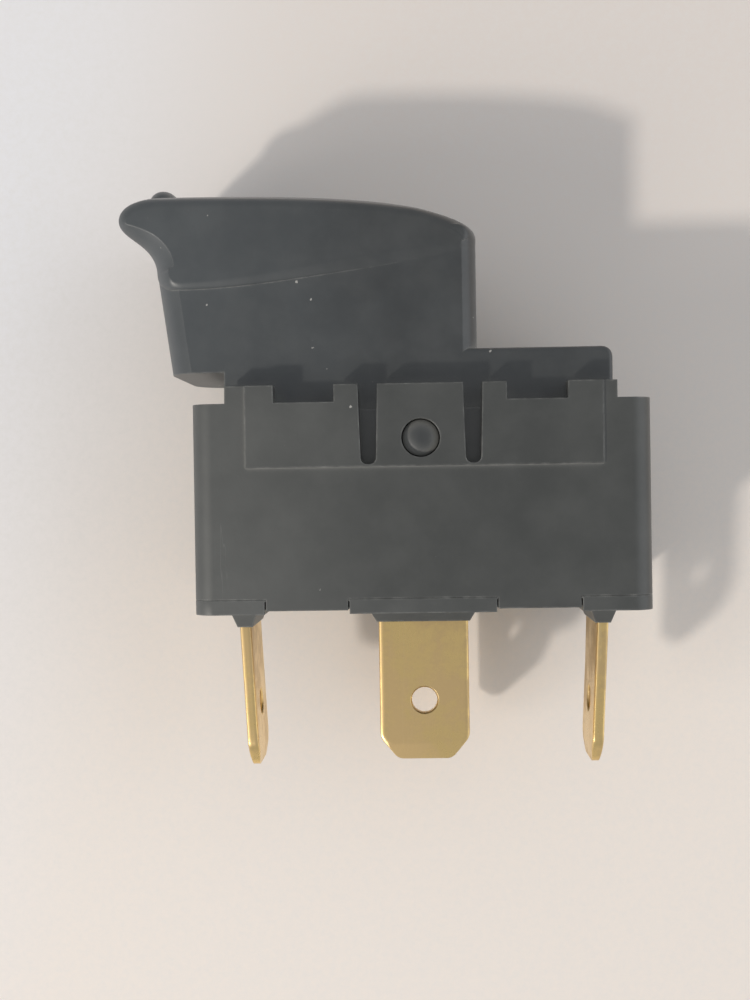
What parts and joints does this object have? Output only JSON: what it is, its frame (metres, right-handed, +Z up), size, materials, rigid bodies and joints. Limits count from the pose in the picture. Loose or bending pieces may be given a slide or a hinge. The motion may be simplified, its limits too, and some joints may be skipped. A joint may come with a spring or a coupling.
{
  "type": "momentary console paddle switch",
  "caption": "Clip-together vehicle console switch: a sprung paddle rocker with a finger lip, see-saw contacts inside and flat push-on blades below.",
  "frame": {"origin": "middle of the housing's shoulder plane, straight above the rocker's pivot", "axes": "+Z up out of the console, +X from the finger lip towards the low end of the rocker, +Y across the switch along the pivot"},
  "size_m": [0.0356, 0.0186, 0.0408],
  "materials": {
    "housing_plastic": "fine moulded grain, dusty, charcoal grey",
    "rocker_plastic": "soft-touch satin, handled, charcoal grey",
    "base_plastic": "plain moulded, dark grey",
    "brass": "stamped, lightly tarnished",
    "bar_copper": "stamped copper strip",
    "contact_silver": "silver alloy rivet",
    "plunger_white": "natural white acetal",
    "spring_steel": "bright drawn wire"
  },
  "bodies": {
    "body": {"housing": "housing_plastic", "terminal_base": "base_plastic", "terminal_left": "brass", "terminal_right": "brass", "terminal_centre": "brass", "terminal_rear": "brass", "fixed_contact_front_left": "contact_silver", "fixed_contact_front_right": "contact_silver", "fixed_contact_rear_left": "contact_silver", "fixed_contact_rear_right": "contact_silver"},
    "rocker": {"rocker": "rocker_plastic", "plunger_spring_front": "spring_steel", "plunger_spring_rear": "spring_steel"},
    "front_plunger": {"plunger_front": "plunger_white"},
    "rear_plunger": {"plunger_rear": "plunger_white"},
    "front_bar": {"contact_bar_front": "bar_copper", "moving_contact_front_left": "contact_silver", "moving_contact_front_right": "contact_silver"},
    "rear_bar": {"contact_bar_rear": "bar_copper", "moving_contact_rear_left": "contact_silver", "moving_contact_rear_right": "contact_silver"}
  },
  "joints": [
    {"name": "rocker_hinge", "type": "hinge", "parent": "body", "child": "rocker", "pos_m": [0, 0, -0.00245], "axis": [0, 1, 0], "range_deg": [-7, 7], "stiffness_Nm_per_rad": 0.3},
    {"name": "front_bar_tilt", "type": "hinge", "parent": "body", "child": "front_bar", "pos_m": [0, -0.00218, -0.00971], "axis": [0, 1, 0], "range_deg": [-4.9, 4.9]},
    {"name": "rear_bar_tilt", "type": "hinge", "parent": "body", "child": "rear_bar", "pos_m": [0, 0.00356, -0.00971], "axis": [0, 1, 0], "range_deg": [-4.9, 4.9]},
    {"name": "front_plunger_slide", "type": "slide", "parent": "rocker", "child": "front_plunger", "axis": [0, 0, 1], "range_m": [0, 0.0008], "stiffness_N_per_m": 400, "springref_m": -0.004, "deforming": ["plunger_spring_front"]},
    {"name": "rear_plunger_slide", "type": "slide", "parent": "rocker", "child": "rear_plunger", "axis": [0, 0, 1], "range_m": [0, 0.0008], "stiffness_N_per_m": 400, "springref_m": -0.004, "deforming": ["plunger_spring_rear"]}
  ],
  "couplings": [
    {"joint": "front_bar_tilt", "follows": "rocker_hinge", "ratio": -0.7},
    {"joint": "rear_bar_tilt", "follows": "rocker_hinge", "ratio": -0.7}
  ]
}
